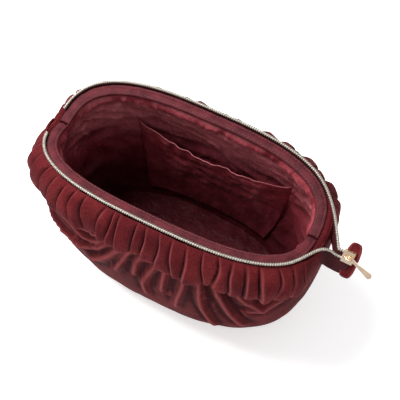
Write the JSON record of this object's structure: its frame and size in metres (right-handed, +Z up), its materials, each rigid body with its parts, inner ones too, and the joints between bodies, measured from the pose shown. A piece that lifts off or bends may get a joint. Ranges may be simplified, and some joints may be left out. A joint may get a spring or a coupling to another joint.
{
  "type": "makeup bag",
  "caption": "Open-mouthed zip makeup bag held wide by two sprung wire frames, with a gathered band, a lined inside with slip pockets and a tabbed zip tail.",
  "frame": {"origin": "on the floor, under the middle of the base", "axes": "+X along the bag towards the zip's tail, -Y the front, +Z up out of the mouth"},
  "size_m": [0.2782, 0.145, 0.1452],
  "materials": {
    "velvet": "matt short-pile velvet",
    "lining": "semi-gloss satin weave",
    "zip_tape": "matt woven tape",
    "zip_teeth": "metallised pale champagne teeth",
    "zip_hardware": "polished pale gold plate",
    "frame_wire": "plain spring wire",
    "cap_plastic": "moulded",
    "base_board": "plain sheet"
  },
  "bodies": {
    "base": {"outer_base": "velvet", "base_board": "base_board", "lining_base": "lining", "outer_left_gusset": "velvet", "outer_right_gusset": "velvet", "lining_left_gusset": "lining", "lining_right_gusset": "lining", "front_tape_end": "zip_tape", "back_tape_end": "zip_tape", "front_coil_end": "zip_teeth", "back_coil_end": "zip_teeth", "front_tail_tape": "zip_tape", "back_tail_tape": "zip_tape", "front_tail_coil": "zip_teeth", "back_tail_coil": "zip_teeth", "tail_tab": "velvet"},
    "front_wall": {"outer_front_body": "velvet", "outer_front_band": "velvet", "lining_front": "lining", "front_pocket": "lining"},
    "back_wall": {"outer_back_body": "velvet", "outer_back_band": "velvet", "lining_back": "lining", "back_pocket": "lining"},
    "front_frame": {"front_wire": "frame_wire", "front_wire_cap_left": "cap_plastic", "front_wire_cap_right": "cap_plastic", "front_casing": "lining", "front_zip_tape": "zip_tape", "front_zip_coil": "zip_teeth"},
    "back_frame": {"back_wire": "frame_wire", "back_wire_cap_left": "cap_plastic", "back_wire_cap_right": "cap_plastic", "back_casing": "lining", "back_zip_tape": "zip_tape", "back_zip_coil": "zip_teeth"},
    "slider": {"slider_body": "zip_hardware", "slider_bridge": "zip_hardware"},
    "pull": {"pull_tab": "zip_hardware"}
  },
  "joints": [
    {"name": "front_frame_fold", "type": "hinge", "parent": "base", "child": "front_frame", "pos_m": [0, -0.0338, 0.1047], "axis": [-1, 0, 0], "range_deg": [0, 75], "deforming": ["front_tape_end", "back_tape_end", "front_coil_end", "back_coil_end", "front_tail_tape", "back_tail_tape", "front_tail_coil", "back_tail_coil"]},
    {"name": "back_frame_fold", "type": "hinge", "parent": "base", "child": "back_frame", "pos_m": [0, 0.0338, 0.1047], "axis": [1, 0, 0], "range_deg": [0, 75]},
    {"name": "front_wall_lean", "type": "hinge", "parent": "base", "child": "front_wall", "pos_m": [0, -0.034, 0.002], "axis": [-1, 0, 0], "range_deg": [0, 19.31], "deforming": ["outer_left_gusset", "outer_right_gusset", "lining_left_gusset", "lining_right_gusset"]},
    {"name": "back_wall_lean", "type": "hinge", "parent": "base", "child": "back_wall", "pos_m": [0, 0.034, 0.002], "axis": [1, 0, 0], "range_deg": [0, 19.31]},
    {"name": "slider_travel", "type": "slide", "parent": "base", "child": "slider", "axis": [-1, 0, 0], "range_m": [0, 0.012]},
    {"name": "pull_swing", "type": "hinge", "parent": "slider", "child": "pull", "pos_m": [0.138, -0.00379, 0.12679], "axis": [0, -0.7071, -0.7071], "range_deg": [0, 150]}
  ],
  "couplings": [
    {"joint": "back_frame_fold", "follows": "front_frame_fold", "ratio": 1},
    {"joint": "front_wall_lean", "follows": "front_frame_fold", "ratio": 0.25733},
    {"joint": "back_wall_lean", "follows": "front_frame_fold", "ratio": 0.25733}
  ]
}
